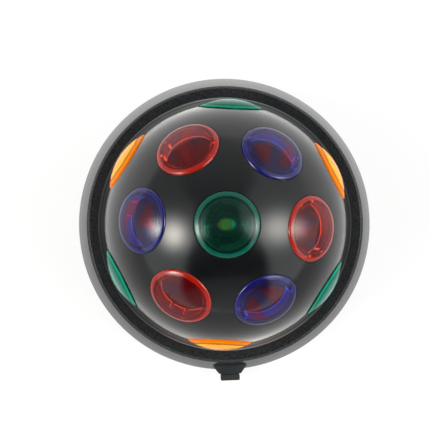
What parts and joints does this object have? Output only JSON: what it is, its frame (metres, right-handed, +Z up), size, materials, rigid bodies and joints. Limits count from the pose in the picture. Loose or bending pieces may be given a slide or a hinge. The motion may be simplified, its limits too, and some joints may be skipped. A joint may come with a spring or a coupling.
{
  "type": "led disco ball light",
  "caption": "Party lamp: a dark dome set with coloured lenses turns on a low round base, driven by a geared motor round a fixed lamp head.",
  "frame": {"origin": "centre of the flat panel under the base, on the dome's axis", "axes": "+Z up along the dome's axis, -Y towards the cord outlet"},
  "size_m": [0.1862, 0.1927, 0.1336],
  "materials": {
    "dome_gloss": "gloss",
    "base_gloss": "gloss wall and slope, fine matt band on the rim",
    "satin_black": "satin",
    "rubber": "matt",
    "lens_red": "clear tinted acrylic",
    "lens_blue": "clear tinted acrylic",
    "lens_green": "clear tinted acrylic",
    "lens_amber": "clear tinted acrylic",
    "steel": "zinc plated",
    "motor_steel": "plated can",
    "aluminium": "satin",
    "nylon": "satin",
    "brass": "turned",
    "led_board": "black solder mask",
    "circuit_board": "green solder mask",
    "choke": "enamelled copper wire",
    "sleeve": "shrink sleeve",
    "terminal": "moulded",
    "lead_red": "insulated wire",
    "lead_white": "insulated wire"
  },
  "bodies": {
    "base": {"base_shell": "base_gloss", "bottom_cover": "satin_black", "cover_screw_1": "steel", "cover_screw_2": "steel", "cover_screw_3": "steel", "cover_screw_4": "steel", "rubber_foot_1": "rubber", "rubber_foot_2": "rubber", "rubber_foot_3": "rubber", "rubber_foot_4": "rubber", "cord_gland": "rubber", "centre_post": "aluminium", "post_screw_1": "steel", "post_screw_2": "steel", "thrust_washer": "nylon", "retaining_clip": "steel", "gear_motor": "motor_steel", "motor_screw_1": "steel", "motor_screw_2": "steel", "driver_board": "circuit_board", "driver_choke": "choke", "driver_capacitor": "sleeve", "terminal_block": "terminal", "board_screw_1": "steel", "board_screw_2": "steel", "lamp_head": "aluminium", "led_top": "led_board", "led_side_1": "led_board", "led_side_2": "led_board", "led_side_3": "led_board", "led_side_4": "led_board", "led_side_5": "led_board", "led_side_6": "led_board", "lamp_lead": "lead_red", "motor_lead": "lead_white", "supply_lead": "lead_white"},
    "dome": {"dome_shell": "dome_gloss", "dome_carrier": "nylon", "carrier_screw_1": "steel", "carrier_screw_2": "steel", "carrier_screw_3": "steel", "hub_bush": "brass", "drive_gear": "nylon", "lens_green_top": "lens_green", "lens_green_1": "lens_green", "lens_green_2": "lens_green", "lens_green_3": "lens_green", "lens_red_1": "lens_red", "lens_red_2": "lens_red", "lens_red_3": "lens_red", "lens_blue_1": "lens_blue", "lens_blue_2": "lens_blue", "lens_blue_3": "lens_blue", "lens_amber_1": "lens_amber", "lens_amber_2": "lens_amber", "lens_amber_3": "lens_amber"},
    "pinion": {"pinion": "nylon", "motor_shaft": "steel"}
  },
  "joints": [
    {"name": "dome_spin", "type": "hinge", "parent": "base", "child": "dome", "pos_m": [0, 0, 0], "axis": [0, 0, 1], "continuous": true},
    {"name": "pinion_spin", "type": "hinge", "parent": "base", "child": "pinion", "pos_m": [0.035, 0, 0], "axis": [0, 0, 1], "continuous": true}
  ],
  "couplings": [
    {"joint": "pinion_spin", "follows": "dome_spin", "ratio": -3}
  ]
}
